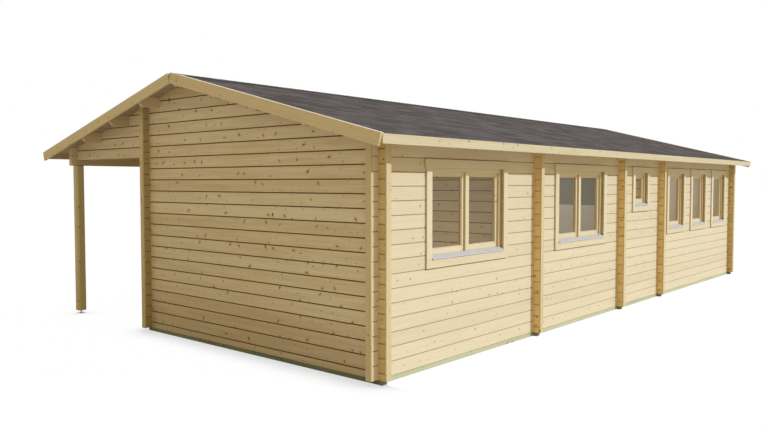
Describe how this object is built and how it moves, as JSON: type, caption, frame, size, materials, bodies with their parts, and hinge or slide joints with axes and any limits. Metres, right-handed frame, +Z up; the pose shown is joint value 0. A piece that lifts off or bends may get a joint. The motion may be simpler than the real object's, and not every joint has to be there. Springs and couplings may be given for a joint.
{
  "type": "log cabin with a full-length porch",
  "caption": "Long, low log cabin: crossed planed-log walls on bearers, glazed windows on one side, and a gable roof on purlins that runs on over an open porch on posts.",
  "frame": {"origin": "on the ground, under the middle of the roof ridge", "axes": "+X along the ridge away from the gable seen in the picture, +Y from the window wall towards the porch, +Z up"},
  "size_m": [11.306, 6.228, 3.0559],
  "materials": {
    "log_wood": "planed softwood logs, untreated, satin",
    "trim_wood": "planed softwood boards, untreated, satin",
    "roof_wood": "planed softwood roof boards and purlins, untreated",
    "floor_wood": "planed softwood floor boards, untreated",
    "bearer_wood": "pressure-impregnated softwood, green tint, matt",
    "roof_felt": "mineral-coated bitumen felt, matt",
    "window_glass": "clear pane",
    "sill_metal": "light grey painted sheet",
    "galvanized_steel": "galvanized, dull"
  },
  "bodies": {
    "root": {"long_bearers": "bearer_wood", "cross_bearers": "bearer_wood", "floor_joists": "bearer_wood", "floor_boards": "floor_wood", "front_wall_lower_logs": "log_wood", "front_wall_pier_logs": "log_wood", "front_wall_upper_logs": "log_wood", "porch_wall_pier_logs": "log_wood", "porch_wall_upper_logs": "log_wood", "near_gable_wall": "log_wood", "far_gable_wall": "log_wood", "room_walls": "log_wood", "near_gable_top": "log_wood", "far_gable_top": "log_wood", "room_wall_tops": "log_wood", "porch_beam": "log_wood", "porch_posts": "log_wood", "post_feet": "galvanized_steel", "ridge_purlin": "roof_wood", "front_purlins": "roof_wood", "porch_purlins": "roof_wood", "front_roof_boards": "roof_wood", "porch_roof_boards": "roof_wood", "front_roof_covering": "roof_felt", "porch_roof_covering": "roof_felt", "ridge_cap": "roof_felt", "near_barge_boards": "trim_wood", "far_barge_boards": "trim_wood", "verge_laths": "trim_wood", "front_fascia": "trim_wood", "porch_fascia": "trim_wood", "front_end_boards": "trim_wood", "porch_end_boards": "trim_wood", "gable_end_boards": "trim_wood", "window_frames": "trim_wood", "window_sashes": "trim_wood", "window_glass": "window_glass", "window_sills": "sill_metal", "window_head_casings": "trim_wood", "window_side_casings": "trim_wood", "window_bottom_casings": "trim_wood", "door_frames": "trim_wood", "door_leaves": "trim_wood", "door_head_casings": "trim_wood", "door_side_casings": "trim_wood", "door_handles": "galvanized_steel"}
  },
  "joints": []
}
